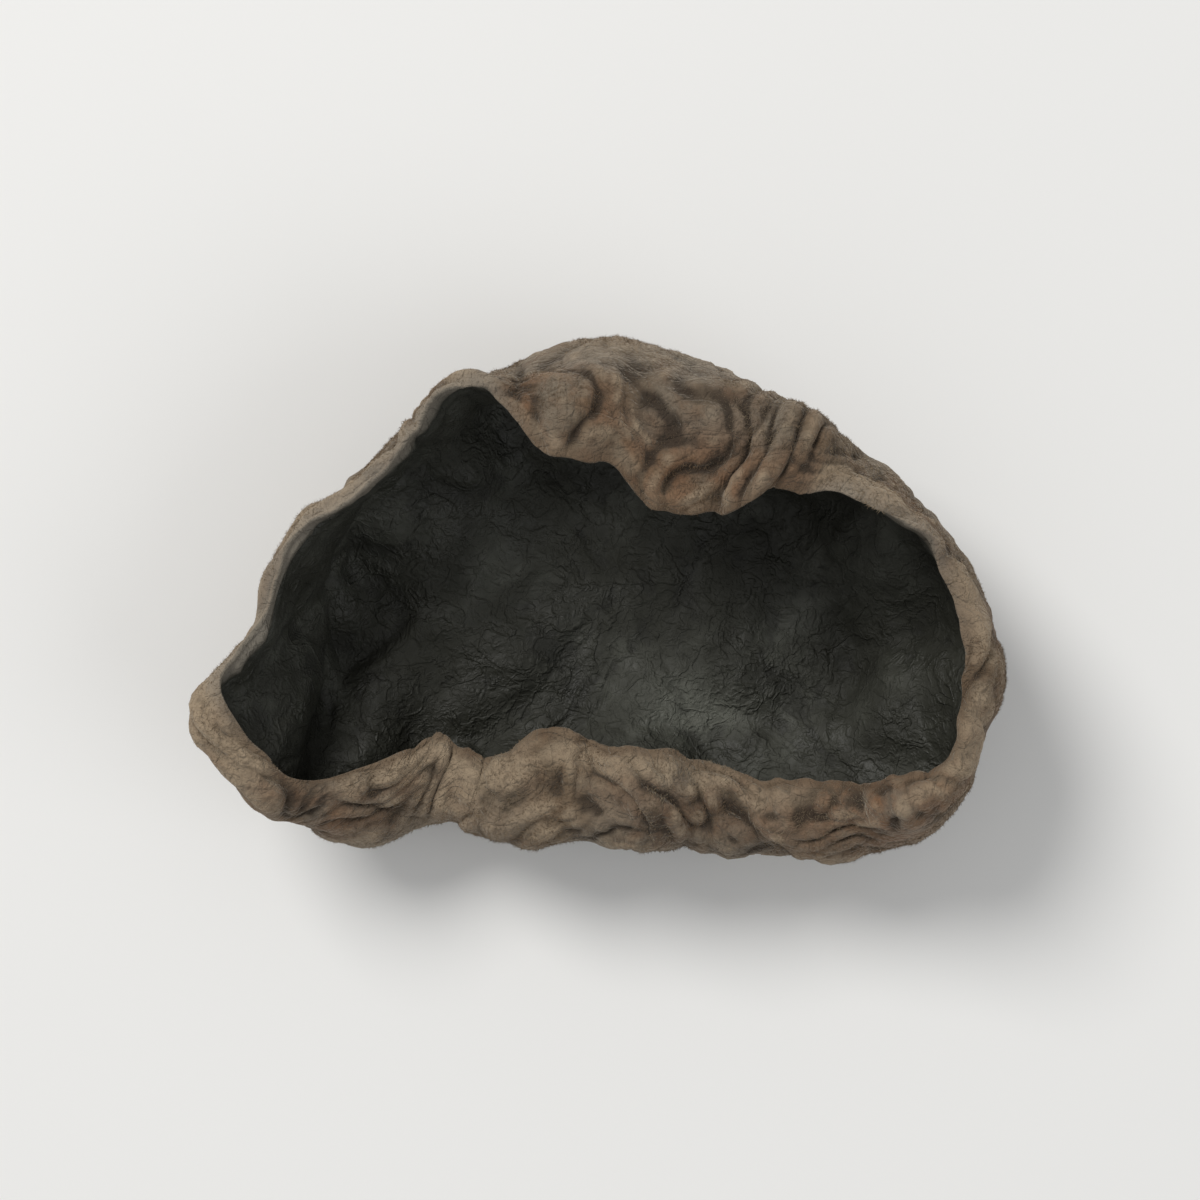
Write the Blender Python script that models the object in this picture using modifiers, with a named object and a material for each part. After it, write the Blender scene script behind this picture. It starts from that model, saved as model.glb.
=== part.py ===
"""Dried wood ear mushroom, one whole small ear.

The ear grew as one thin sheet in the form of a shallow cup.  Drying shrivelled it: its
margin curled inwards along the front and stayed thin and upright at the left, a tongue of
the back margin folded over the mouth, and folds fan out over its underside from the place
where it hung on the wood.  It rests on the bottom of the cup, and its left end lifts off.

The sheet is the lower half of a sphere, reshaped point by point.  A point's way from the
pole to the equator is its share of the way from the bottom of the cup to the free margin,
and its bearing stays its bearing round the mouth.  A Solidify modifier makes the open
sheet a closed solid that thins towards the margin.

Lengths below are in millimetres, and the finished mesh is in metres.
"""

import math

import bmesh
import bpy
import numpy as np
from mathutils import Euler

MM = 0.001

# The sheet's mesh: columns round the mouth, and rings from the bottom to the margin.
COLUMNS = 84
RINGS = 24

# The ear at sixteen bearings round the mouth, 22.5 degrees apart, anticlockwise from +X.
# Each row: reach of the wall from the middle, height of the wall, how far the margin rolls
# inwards and upwards (both as radii of the roll), and how many degrees it turns.
STATIONS = np.array([
    [10.2, 5.0, 0.45, 0.72, 102],   # right end
    [8.6, 5.8, 0.42, 0.80, 80],     # thin margin on the right
    [7.4, 6.2, 1.36, 0.94, 126],    # right end of the tongue
    [6.8, 5.9, 1.60, 0.95, 138],    # the tongue folded over the mouth
    [6.6, 5.9, 1.15, 0.95, 130],    # back
    [7.0, 6.3, 0.38, 0.80, 85],     # left end of the tongue
    [6.9, 6.2, 0.12, 0.80, 68],     # thin margin, standing nearly straight
    [7.6, 5.3, 0.06, 0.80, 60],
    [9.6, 3.8, 0.08, 0.80, 62],     # left end
    [10.3, 3.1, 0.98, 0.75, 129],
    [7.3, 3.4, 1.60, 0.85, 145],    # the front lip, folded right over
    [6.6, 4.0, 1.55, 0.85, 145],
    [5.9, 4.4, 1.55, 0.85, 145],    # front
    [6.0, 3.9, 1.20, 0.85, 142],
    [9.0, 3.4, 1.10, 0.82, 142],
    [10.5, 4.2, 0.86, 0.78, 132],
])
BELLY_SHARE = 0.62
# How much flatter than an ellipse the bottom of the belly is.
BELLY_FLATNESS = 1.8
# Where the deepest place lies.
DEEPEST = np.array([0.0, 1.2])
# The left end of the belly lifts this far off the surface, between these places along X.
END_LIFT = 1.1
LIFT_FROM, LIFT_TO = -5.0, -10.0
# The margin rolls towards a line along X through (0, SPINE_Y), this long each way.
SPINE_HALF_LENGTH = 4.6
SPINE_Y = 0.5
# A roll tightens by this share for each half turn.
ROLL_TIGHTENING = 0.10

# Ruffles round the mouth: waves per turn, share of the whole, phase in radians.
RUFFLES = ((5, 0.22, 0.4), (8, 0.18, 2.1), (11, 0.12, 4.0), (15, 0.06, 1.0))
# What they do to the wall's reach, to its height and to the size of the roll, each with
# the angle in radians by which its ruffles are turned round the mouth.
REACH_RUFFLE = (0.3, 0.0)
WALL_RUFFLE = (1.2, 0.37)
ROLL_RUFFLE = (0.10, 0.85)

# The place where the ear hung on the wood, and the puckered stub left there.
ATTACHMENT = np.array([0.6, 5.4])
STUB_HEIGHT = 1.1
STUB_RADIUS = 1.2
# Folds that fan out from it: bearing in degrees, height, half width.
FOLDS = (
    (-170, 0.30, 1.5), (-148, 0.50, 0.9), (-121, 0.35, 1.6), (-98, 0.55, 0.9),
    (-72, 0.40, 1.5), (-47, 0.60, 1.0), (-20, 0.40, 1.4), (6, 0.55, 0.9),
    (34, 0.45, 1.2), (62, 0.50, 0.9), (96, 0.50, 1.1), (127, 0.50, 0.9), (160, 0.40, 1.2),
)
# They start this far from the attachment, and wander off their bearing by this many
# radians, in bends of this wavelength.
FOLD_START = 2.2
FOLD_WANDER, FOLD_BEND = 0.17, 7.0
# Along a fold its height swings by this share of it, at this many radians a millimetre,
# and each fold is this many radians out of step with the one before it.
FOLD_SWING, FOLD_PACE, FOLD_STEP = 0.35, 0.55, 1.7

# Dents and creases over the belly: height, wavelength, seed.
DENTS = (0.25, 4.6, 21)
CREASES = (0.26, 6.5, 23)
CREASE_SLOPE, CREASE_ROUNDING = 1.6, 0.15
# They rise from nothing at the bottom of the cup to full height at this share of a column.
DENTS_FULL = 0.45
# The folds and dents die out between these shares of a column, but for a small rest.
CALM_FROM, CALM_TO, CALM_REST = 0.36, 0.58, 0.12
# The whole ear is bent out of shape by three sizes of wave: wavelength, size, seed.
WARPS = ((9.0, 0.40, 11), (4.6, 0.17, 31), (2.4, 0.055, 51))
# The waves move points less up and down than along X and Y.
WARP_SHARES = np.array([1.0, 1.0, 0.8])

# Thickness of the dried sheet at the bottom and at the free margin.
BELLY_THICKNESS = 0.60
MARGIN_THICKNESS = 0.34
# The ear leans this far, in degrees about X and then about Y, as it comes to rest.
LEAN_X, LEAN_Y = -1.8, -2.0
# The lowest places are pressed this much flatter, where the ear rests.
REST_PRESS = 0.30
REST_SOFTNESS = 0.12


def waves(points, wavelength, seed, count=24, spread=0.35):
    """Smooth noise: a sum of plane waves in seeded directions, about 1 high."""
    rng = np.random.default_rng(seed)
    ways = rng.normal(size=(count, points.shape[-1]))
    ways /= np.linalg.norm(ways, axis=1, keepdims=True)
    ways *= 2 * math.pi / wavelength * (1 + spread * rng.uniform(-1, 1, size=(count, 1)))
    phases = rng.uniform(0, 2 * math.pi, size=count)
    return np.sin(points @ ways.T + phases).sum(-1) * math.sqrt(2 / count)


def ease(x):
    """Smooth step from 0 to 1."""
    x = np.clip(x, 0, 1)
    return x * x * (3 - 2 * x)


def stations_at(bearing):
    """The station rows at any bearing, joined round the mouth by a Catmull-Rom curve."""
    place = bearing / (2 * math.pi) % 1.0 * len(STATIONS)
    row = np.floor(place).astype(int)
    t = (place - row)[:, None]
    p0, p1, p2, p3 = (STATIONS[(row + step) % len(STATIONS)] for step in (-1, 0, 1, 2))
    return 0.5 * (2 * p1 + (p2 - p0) * t + (2 * p0 - 5 * p1 + 4 * p2 - p3) * t ** 2
                  + (3 * p1 - p0 - 3 * p2 + p3) * t ** 3)


def ruffle(bearing, effect):
    """The sum of the ruffles at each bearing, for one effect: its size and its turn."""
    size, turn = effect
    return size * sum(share * np.cos(count * (bearing + turn) + phase)
                      for count, share, phase in RUFFLES)


def wall_line(bearing):
    """Where the wall stands in plan, with the station rows there."""
    rows = stations_at(bearing)
    reach = rows[:, 0] + ruffle(bearing, REACH_RUFFLE)
    return reach[:, None] * np.stack([np.cos(bearing), np.sin(bearing)], -1), rows


def smooth_cup(share, bearing):
    """The cup before it shrivelled: a quarter ellipse, then the roll of the margin."""
    wall, rows = wall_line(bearing)
    spine = np.stack([SPINE_HALF_LENGTH * np.tanh(wall[:, 0] / SPINE_HALF_LENGTH),
                      np.full(len(wall), SPINE_Y)], -1)
    inward = spine - wall
    inward /= np.linalg.norm(inward, axis=-1, keepdims=True)
    height = rows[:, 1] + ruffle(bearing, WALL_RUFFLE)
    belly = np.clip(share / BELLY_SHARE, 0, 1) * math.pi / 2
    plan = DEEPEST + (wall - DEEPEST) * np.sin(belly)[:, None]
    up = height * (1 - np.cos(belly)) ** BELLY_FLATNESS
    up = up + END_LIFT * ease((plan[:, 0] - LIFT_FROM) / (LIFT_TO - LIFT_FROM))
    roll = np.clip((share - BELLY_SHARE) / (1 - BELLY_SHARE), 0, 1) * np.radians(rows[:, 4])
    size = (1 + ruffle(bearing, ROLL_RUFFLE)) * (1 - ROLL_TIGHTENING * roll / math.pi)
    plan = plan + inward * (rows[:, 2] * size * (1 - np.cos(roll)))[:, None]
    up = up + rows[:, 3] * size * np.sin(roll)
    return np.concatenate([plan, up[:, None]], -1)


def cup_normal(share, bearing, step=0.002):
    """The smooth cup's normal on its inner side, from small steps both ways."""
    share = np.maximum(share, step)
    along = smooth_cup(np.minimum(share + step, 1), bearing) - smooth_cup(share - step, bearing)
    across = smooth_cup(share, bearing + step) - smooth_cup(share, bearing - step)
    normal = np.cross(along, across)
    return normal / np.linalg.norm(normal, axis=-1, keepdims=True)


def fan_folds(share, bearing):
    """Rounded ridges along bearings from the attachment, with the stub in their middle."""
    wall, _ = wall_line(bearing)
    sheet = wall * np.clip(share / BELLY_SHARE, 0, 1)[:, None]
    away = sheet - ATTACHMENT
    distance = np.linalg.norm(away, axis=-1)
    start = ease(distance / FOLD_START)
    aim = np.arctan2(away[:, 1], away[:, 0]) + FOLD_WANDER * waves(sheet, FOLD_BEND, 3) * start
    ridges = 0
    for number, (degrees, height, half_width) in enumerate(FOLDS):
        off = (aim - math.radians(degrees) + math.pi) % (2 * math.pi) - math.pi
        across = off * np.maximum(distance, STUB_RADIUS) / half_width
        swing = FOLD_SWING * np.sin(distance * FOLD_PACE + number * FOLD_STEP)
        ridges = ridges + height * (1 - FOLD_SWING + swing) * np.exp(-across ** 2)
    stub = STUB_HEIGHT * np.exp(-(distance / STUB_RADIUS) ** 2)
    return ridges * start, stub


def dents_and_creases(cup):
    """Rounded dents, less the creases: ridges where a smooth noise passes through zero."""
    depth, wavelength, seed = DENTS
    dents = depth * waves(cup, wavelength, seed)
    depth, wavelength, seed = CREASES
    noise = waves(cup, wavelength, seed)
    return dents - depth * (1 - CREASE_SLOPE * np.sqrt(noise ** 2 + CREASE_ROUNDING))


def dried_sheet(share, bearing):
    """The middle of the shrivelled sheet: the cup with its folds, dents and warps."""
    cup = smooth_cup(share, bearing)
    ridges, stub = fan_folds(share, bearing)
    calm = 1 - (1 - CALM_REST) * ease((share - CALM_FROM) / (CALM_TO - CALM_FROM))
    dents = dents_and_creases(cup) * ease(share / DENTS_FULL)
    inwards = (dents - ridges) * calm - stub
    sheet = cup + cup_normal(share, bearing) * inwards[:, None]
    for wavelength, size, seed in WARPS:
        shift = np.stack([waves(sheet, wavelength, seed + axis) for axis in range(3)], -1)
        sheet = sheet + size * shift * WARP_SHARES
    return sheet


def settle(sheet):
    """Lean the sheet as it rests, and press its lowest places softly flat at zero."""
    lean = Euler((math.radians(LEAN_X), math.radians(LEAN_Y), 0)).to_matrix()
    sheet = sheet @ np.array(lean).T
    up = sheet[:, 2] - sheet[:, 2].min() - REST_PRESS
    sheet[:, 2] = 0.5 * (up + np.sqrt(up ** 2 + REST_SOFTNESS ** 2))
    return sheet


def make_sheet(name):
    """The open sheet: the lower half of a sphere, each point moved to its place."""
    bm = bmesh.new()
    bmesh.ops.create_uvsphere(bm, u_segments=COLUMNS, v_segments=2 * RINGS, radius=1.0)
    upper = [vert for vert in bm.verts if vert.co.z > 1e-4]
    bmesh.ops.delete(bm, geom=upper, context="VERTS")
    mesh = bpy.data.meshes.new(name)
    bm.to_mesh(mesh)
    bm.free()

    ball = np.empty(len(mesh.vertices) * 3, dtype=np.float32)
    mesh.vertices.foreach_get("co", ball)
    ball = ball.reshape(-1, 3).astype(float)
    share = np.arccos(np.clip(-ball[:, 2], -1, 1)) / (math.pi / 2)
    bearing = np.arctan2(ball[:, 1], ball[:, 0])
    sheet = settle(dried_sheet(share, bearing)) * MM
    mesh.vertices.foreach_set("co", sheet.astype(np.float32).ravel())
    mesh.update()
    mesh.shade_smooth()
    return mesh, share


def make_material(name, color, roughness):
    """A plain finish: colour in linear light, roughness, no metal."""
    material = bpy.data.materials.new(name)
    material.use_nodes = True
    shader = material.node_tree.nodes["Principled BSDF"]
    shader.inputs["Base Color"].default_value = (*color, 1.0)
    shader.inputs["Roughness"].default_value = roughness
    shader.inputs["Metallic"].default_value = 0.0
    return material


def make_ear(collection):
    """The ear: the sheet, its thickness, its finish, and its place on the surface."""
    mesh, share = make_sheet("wood_ear")
    mesh.materials.append(make_material("dried_flesh", (0.117, 0.093, 0.068), 0.8))
    ear = bpy.data.objects.new("wood_ear", mesh)
    collection.objects.link(ear)

    thick = ear.vertex_groups.new(name="thick")
    for index, way in enumerate(share):
        thick.add([index], 1.0 - float(min(way, 1.0)) ** 3, "REPLACE")
    solidify = ear.modifiers.new("thickness", "SOLIDIFY")
    solidify.thickness = BELLY_THICKNESS * MM
    solidify.offset = 0.0
    solidify.use_quality_normals = True
    solidify.vertex_group = thick.name
    solidify.thickness_vertex_group = MARGIN_THICKNESS / BELLY_THICKNESS

    solid = ear.evaluated_get(bpy.context.evaluated_depsgraph_get()).to_mesh()
    corners = np.array([vert.co for vert in solid.vertices])
    low, high = corners.min(0), corners.max(0)
    ear.location = (-(low[0] + high[0]) / 2, -(low[1] + high[1]) / 2, -low[2])
    return ear


def main():
    for old in list(bpy.data.objects):
        bpy.data.objects.remove(old)
    collection = bpy.data.collections.new("dried_wood_ear_mushroom")
    bpy.context.scene.collection.children.link(collection)
    make_ear(collection)


main()
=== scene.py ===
from math import cos, pi, radians, sin, sqrt

import bpy
import numpy as np
from mathutils import Euler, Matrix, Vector
from numpy.linalg import norm


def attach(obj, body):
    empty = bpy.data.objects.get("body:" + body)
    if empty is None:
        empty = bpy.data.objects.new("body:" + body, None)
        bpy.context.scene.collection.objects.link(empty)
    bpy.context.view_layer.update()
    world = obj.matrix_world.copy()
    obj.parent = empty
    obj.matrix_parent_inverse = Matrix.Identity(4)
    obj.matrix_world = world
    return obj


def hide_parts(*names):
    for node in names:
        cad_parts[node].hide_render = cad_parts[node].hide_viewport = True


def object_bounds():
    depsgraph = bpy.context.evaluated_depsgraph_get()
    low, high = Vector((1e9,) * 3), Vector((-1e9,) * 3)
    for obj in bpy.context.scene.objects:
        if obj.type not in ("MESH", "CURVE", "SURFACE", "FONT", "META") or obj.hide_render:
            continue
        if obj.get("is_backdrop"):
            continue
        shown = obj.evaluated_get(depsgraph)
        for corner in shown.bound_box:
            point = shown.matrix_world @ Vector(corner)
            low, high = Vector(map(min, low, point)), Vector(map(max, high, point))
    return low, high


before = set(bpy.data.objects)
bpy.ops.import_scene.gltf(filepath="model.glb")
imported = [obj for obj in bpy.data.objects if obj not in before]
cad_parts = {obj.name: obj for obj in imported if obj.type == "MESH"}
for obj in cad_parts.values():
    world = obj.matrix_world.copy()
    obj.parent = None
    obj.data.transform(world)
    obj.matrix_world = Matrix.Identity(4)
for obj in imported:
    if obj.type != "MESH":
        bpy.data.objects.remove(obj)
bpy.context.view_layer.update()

bl_info = {
    "name": "Dried wood ear mushroom",
    "version": (1, 0, 0),
    "blender": (4, 5, 0),
    "location": "View3D > Sidebar > Wood ear",
    "description": "Builds the looks of one dried wood ear mushroom and a plain stage for it",
    "category": "Object",
}

MM = 0.001

# ---- The form of the ear, in millimetres ----

# The ear at sixteen bearings round the mouth, 22.5 degrees apart, anticlockwise from +X.
# Each row: reach of the wall from the middle, height of the wall, how far the margin rolls
# inwards and upwards (both as radii of the roll), and how many degrees it turns.
STATIONS = np.array([
    [10.2, 5.0, 0.45, 0.72, 102],   # right end
    [8.6, 5.8, 0.42, 0.80, 80],     # thin margin on the right
    [7.4, 6.2, 1.36, 0.94, 126],    # right end of the tongue
    [6.8, 5.9, 1.60, 0.95, 138],    # the tongue folded over the mouth
    [6.6, 5.9, 1.15, 0.95, 130],    # back
    [7.0, 6.3, 0.38, 0.80, 85],     # left end of the tongue
    [6.9, 6.2, 0.12, 0.80, 68],     # thin margin, standing nearly straight
    [7.6, 5.3, 0.06, 0.80, 60],
    [9.6, 3.8, 0.08, 0.80, 62],     # left end
    [10.3, 3.1, 0.98, 0.75, 129],
    [7.3, 3.4, 1.60, 0.85, 145],    # the front lip, folded right over
    [6.6, 4.0, 1.55, 0.85, 145],
    [5.9, 4.4, 1.55, 0.85, 145],    # front
    [6.0, 3.9, 1.20, 0.85, 142],
    [9.0, 3.4, 1.10, 0.82, 142],
    [10.5, 4.2, 0.86, 0.78, 132],
])
BELLY_SHARE = 0.62
BELLY_FLATNESS = 1.8
DEEPEST = np.array([0.0, 1.2])
END_LIFT = 1.1
LIFT_FROM, LIFT_TO = -5.0, -10.0
SPINE_HALF_LENGTH = 4.6
SPINE_Y = 0.5
ROLL_TIGHTENING = 0.10
RUFFLES = ((5, 0.22, 0.4), (8, 0.18, 2.1), (11, 0.12, 4.0), (15, 0.06, 1.0))
REACH_RUFFLE = (0.3, 0.0)
WALL_RUFFLE = (1.2, 0.37)
ROLL_RUFFLE = (0.10, 0.85)
ATTACHMENT = np.array([0.6, 5.4])
STUB_HEIGHT = 1.1
STUB_RADIUS = 1.2
FOLDS = (
    (-170, 0.30, 1.5), (-148, 0.50, 0.9), (-121, 0.35, 1.6), (-98, 0.55, 0.9),
    (-72, 0.40, 1.5), (-47, 0.60, 1.0), (-20, 0.40, 1.4), (6, 0.55, 0.9),
    (34, 0.45, 1.2), (62, 0.50, 0.9), (96, 0.50, 1.1), (127, 0.50, 0.9), (160, 0.40, 1.2),
)
FOLD_START = 2.2
FOLD_WANDER, FOLD_BEND = 0.17, (7.0, 3)
FOLD_SWING, FOLD_PACE, FOLD_STEP = 0.35, 0.55, 1.7
DENTS = (0.25, 4.6, 21)
CREASES = (0.26, 6.5, 23)
CREASE_SLOPE, CREASE_ROUNDING = 1.6, 0.15
DENTS_FULL = 0.45
CALM_FROM, CALM_TO, CALM_REST = 0.36, 0.58, 0.12
WARPS = ((9.0, 0.40, 11), (4.6, 0.17, 31), (2.4, 0.055, 51))
WARP_SHARES = np.array([1.0, 1.0, 0.8])
BELLY_THICKNESS = 0.60
MARGIN_THICKNESS = 0.34
LEAN_X, LEAN_Y = -1.8, -2.0
REST_PRESS = 0.30
REST_SOFTNESS = 0.12


def unit(vectors):
    """Each vector at length 1."""
    return vectors / norm(vectors, axis=-1, keepdims=True)


def waves(points, wavelength, seed, count=24, spread=0.35):
    """Smooth noise: a sum of plane waves in seeded directions, about 1 high."""
    rng = np.random.default_rng(seed)
    ways = unit(rng.normal(size=(count, points.shape[-1])))
    ways *= 2 * pi / wavelength * (1 + spread * rng.uniform(-1, 1, size=(count, 1)))
    phases = rng.uniform(0, 2 * pi, size=count)
    return np.sin(points @ ways.T + phases).sum(-1) * sqrt(2 / count)


def ease(x):
    """Smooth step from 0 to 1."""
    x = np.clip(x, 0, 1)
    return x * x * (3 - 2 * x)


def rise(x, start, full):
    """Smooth step from 0 where x is at start to 1 where it is full, in either direction."""
    return ease((x - start) / (full - start))


def turn_from(centre, bearing):
    """The angle from a centre to a bearing, between half a turn either way."""
    return (bearing - centre + pi) % (2 * pi) - pi


def stations_at(bearing):
    """The station rows at any bearing, joined round the mouth by a Catmull-Rom curve."""
    place = bearing / (2 * pi) % 1.0 * len(STATIONS)
    row = np.floor(place).astype(int)
    t = (place - row)[:, None]
    p0, p1, p2, p3 = (STATIONS[(row + step) % len(STATIONS)] for step in (-1, 0, 1, 2))
    return 0.5 * (2 * p1 + (p2 - p0) * t + (2 * p0 - 5 * p1 + 4 * p2 - p3) * t ** 2
                  + (3 * p1 - p0 - 3 * p2 + p3) * t ** 3)


def ruffle(bearing, effect):
    """The sum of the ruffles at each bearing, for one effect: its size and its turn."""
    size, turn = effect
    return size * sum(share * np.cos(count * (bearing + turn) + phase)
                      for count, share, phase in RUFFLES)


def wall_line(bearing):
    """Where the wall stands in plan, with the station rows there."""
    rows = stations_at(bearing)
    reach = rows[:, 0] + ruffle(bearing, REACH_RUFFLE)
    return reach[:, None] * np.stack([np.cos(bearing), np.sin(bearing)], -1), rows


def smooth_cup(share, bearing):
    """The cup before it shrivelled: a quarter ellipse, then the roll of the margin."""
    wall, rows = wall_line(bearing)
    spine = np.stack([SPINE_HALF_LENGTH * np.tanh(wall[:, 0] / SPINE_HALF_LENGTH),
                      np.full(len(wall), SPINE_Y)], -1)
    inward = unit(spine - wall)
    height = rows[:, 1] + ruffle(bearing, WALL_RUFFLE)
    belly = np.clip(share / BELLY_SHARE, 0, 1) * pi / 2
    plan = DEEPEST + (wall - DEEPEST) * np.sin(belly)[:, None]
    up = height * (1 - np.cos(belly)) ** BELLY_FLATNESS
    up = up + END_LIFT * rise(plan[:, 0], LIFT_FROM, LIFT_TO)
    roll = np.clip((share - BELLY_SHARE) / (1 - BELLY_SHARE), 0, 1) * np.radians(rows[:, 4])
    size = (1 + ruffle(bearing, ROLL_RUFFLE)) * (1 - ROLL_TIGHTENING * roll / pi)
    plan = plan + inward * (rows[:, 2] * size * (1 - np.cos(roll)))[:, None]
    up = up + rows[:, 3] * size * np.sin(roll)
    return np.concatenate([plan, up[:, None]], -1)


def cup_normal(share, bearing, step=0.002):
    """The smooth cup's normal on its inner side, from small steps both ways."""
    share = np.maximum(share, step)
    along = smooth_cup(np.minimum(share + step, 1), bearing) - smooth_cup(share - step, bearing)
    across = smooth_cup(share, bearing + step) - smooth_cup(share, bearing - step)
    return unit(np.cross(along, across))


def flat_sheet(share, bearing):
    """Where a point of the belly lay in plan; the roll keeps the place of its foot."""
    wall, _ = wall_line(bearing)
    return wall * np.clip(share / BELLY_SHARE, 0, 1)[:, None]


def fan_folds(share, bearing):
    """Rounded ridges along bearings from the attachment, with the stub in their middle."""
    sheet = flat_sheet(share, bearing)
    away = sheet - ATTACHMENT
    distance = norm(away, axis=-1)
    start = ease(distance / FOLD_START)
    aim = np.arctan2(away[:, 1], away[:, 0]) + FOLD_WANDER * waves(sheet, *FOLD_BEND) * start
    ridges = 0
    for number, (degrees, height, half_width) in enumerate(FOLDS):
        off = turn_from(radians(degrees), aim)
        across = off * np.maximum(distance, STUB_RADIUS) / half_width
        swing = FOLD_SWING * np.sin(distance * FOLD_PACE + number * FOLD_STEP)
        ridges = ridges + height * (1 - FOLD_SWING + swing) * np.exp(-across ** 2)
    stub = STUB_HEIGHT * np.exp(-(distance / STUB_RADIUS) ** 2)
    return ridges * start, stub


def dents_and_creases(cup):
    """Rounded dents, less the creases: ridges where a smooth noise passes through zero."""
    depth, wavelength, seed = DENTS
    dents = depth * waves(cup, wavelength, seed)
    depth, wavelength, seed = CREASES
    noise = waves(cup, wavelength, seed)
    return dents - depth * (1 - CREASE_SLOPE * np.sqrt(noise ** 2 + CREASE_ROUNDING))


def dried_sheet(share, bearing):
    """The middle of the shrivelled sheet: the cup with its folds, dents and warps."""
    cup = smooth_cup(share, bearing)
    ridges, stub = fan_folds(share, bearing)
    calm = 1 - (1 - CALM_REST) * rise(share, CALM_FROM, CALM_TO)
    dents = dents_and_creases(cup) * ease(share / DENTS_FULL)
    inwards = (dents - ridges) * calm - stub
    sheet = cup + cup_normal(share, bearing) * inwards[:, None]
    for wavelength, size, seed in WARPS:
        shift = np.stack([waves(sheet, wavelength, seed + axis) for axis in range(3)], -1)
        sheet = sheet + size * shift * WARP_SHARES
    return sheet


def settle(sheet):
    """Lean the sheet as it rests, and press its lowest places softly flat at zero."""
    lean = Euler((radians(LEAN_X), radians(LEAN_Y), 0)).to_matrix()
    sheet = sheet @ np.array(lean).T
    up = sheet[:, 2] - sheet[:, 2].min() - REST_PRESS
    sheet[:, 2] = 0.5 * (up + np.sqrt(up ** 2 + REST_SOFTNESS ** 2))
    return sheet


# ---- The fine relief of its two faces, in millimetres ----

# A noise is given as its wavelength, its seed and, if it isn't 24, its number of waves.
# What comes and goes is given as a noise, its mean share and how far it swings.

# The share of each face's rows on the roll, and the rows round the free margin.
ROLL_ROWS_SHARE = 0.44
MARGIN_ROWS = 6
# Nicks cut the free margin back by up to these shares of a column, and with it what lies
# past the last share.
NICKS = ((0.06, ((3.4, 41, 30), 0.35, 0.5)), (0.021, ((0.9, 42, 30), 0.0, 0.5)))
NICK_FROM = 0.6
# The thickness of the very edge, and the last share of a column, which thins to it.
EDGE_THICKNESS, EDGE_SHARE = 0.16, 0.14
# How much relief is left at the edge, and how far from it there is all of it.
EDGE_RELIEF, EDGE_FADE = 0.3, 0.5
# The height from which the sheet is crumpled in full.
CRUMPLE_CLEAR = 0.8

# Between these shares of a column the rays give way to the wrinkles of the roll.
ROLL_FROM, RAYS_TO = 0.42, 0.60
# Bands of rays: waves in a full turn, the distances from the attachment at which the band
# comes in and dies out, and the seeds of its cushions and grooves.
RAY_BANDS = ((9, -3.0, 2.5, 62, 66), (17, 2.5, 6.5, 63, 67), (32, 6.5, 40.0, 64, 68))
RAY_FADE = 2.2
RAY_SLOWNESS = 0.16
RAY_WANDER, RAY_BEND = 0.09, (3.6, 61)
RAY_ROUNDING = 0.10
RAY_GROOVE_WAVE, RAY_GROOVE_WIDTH = 0.8, 0.30

# On the roll, ribs run across the margin and streaks along it, coarse and fine: how many
# ribs go round or how far apart the streaks are, and two seeds.
RIBS = ((52, 73, 71), (97, 74, 72))
STREAKS = ((1.05, 81, 83), (0.50, 82, 84))
# How far they wander, in half waves, and the wavelength of that: along the sheet as it lies
# flat, stretched by the shares below, and in space.
RIB_WANDER = ((0.40, 5.0), (0.40, 2.6))
STREAK_WANDER = ((0.55, 3.0), (0.275, 2.0))
ACROSS = np.array([1.0, 1.0, 0.18])
ALONG = np.array([0.11, 0.11, 1.0])
# How far they run across rather than along: everywhere, on the tongue, and by a noise.
CROSSWISE, TONGUE_CROSSWISE, CROSSWISE_SWING = 0.12, 1.05, 0.30
CROSSWISE_NOISE = (3.2, 65)
# The tongue is centred at this bearing, whole this far each way, and gone this far.
TONGUE_BEARING = radians(74)
TONGUE_WHOLE, TONGUE_GONE = radians(15.2), radians(53.2)
# How deep the wrinkles and the tongue's ribs are where the margin has turned over, as
# shares of the pucker depth, and the shares of a column over which that comes in.
ROLL_DEPTH, TONGUE_DEPTH = 1.6, 1.9
OVER_FROM, OVER_TO = 0.58, 0.76
# The coarse ones come and go; how much of them stays, and how much of the fine ones they
# take.
PUCKERING = ((2.2, 96), 0.6, 0.6)
COARSE_STAY, FINE_LOSS = 0.5, 0.6

# Creases pinched into the roll: bearing in degrees, depth and half width; how far they
# wander, and the share of a column over which they grow.
PINCHES = ((273, 0.30, 0.16), (236, 0.12, 0.22), (305, 0.15, 0.25), (338, 0.20, 0.25),
           (102, 0.16, 0.20), (52, 0.16, 0.20), (18, 0.15, 0.25))
PINCH_WANDER, PINCH_BEND = 0.5, (3.0, 95)
PINCH_RISE = 0.25
# Gullies: from where to where in plan, depth and half width; how far they wander, the
# last share of them that fades, and the shares of a column over which they come in.
GULLIES = (((2.7, 7.2), (4.3, 4.9), 0.42, 0.24), ((-5.4, -5.2), (-8.4, -4.2), 0.14, 0.20))
GULLY_WANDER, GULLY_BENDS = 0.22, ((2.4, 97), (2.4, 98))
GULLY_TAIL = 0.25
GULLY_FROM, GULLY_TO = 0.60, 0.72

# Nets of cushions: a noise, and how rounded the valleys between them are.
NETS = {
    "net": ((1.9, 66, 32), 0.05),
    "fine_net": ((1.0, 67, 40), 0.03),
    "inner_net": ((2.1, 76, 32), 0.08),
    "inner_fine_net": ((0.95, 77, 40), 0.04),
    "broad": ((4.0, 91, 32), 0.06),
}
# The broad ones grow over this share of a column, and the roll takes this much of them.
BROAD_FULL, ROLL_CALM = 0.4, 0.65
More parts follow.
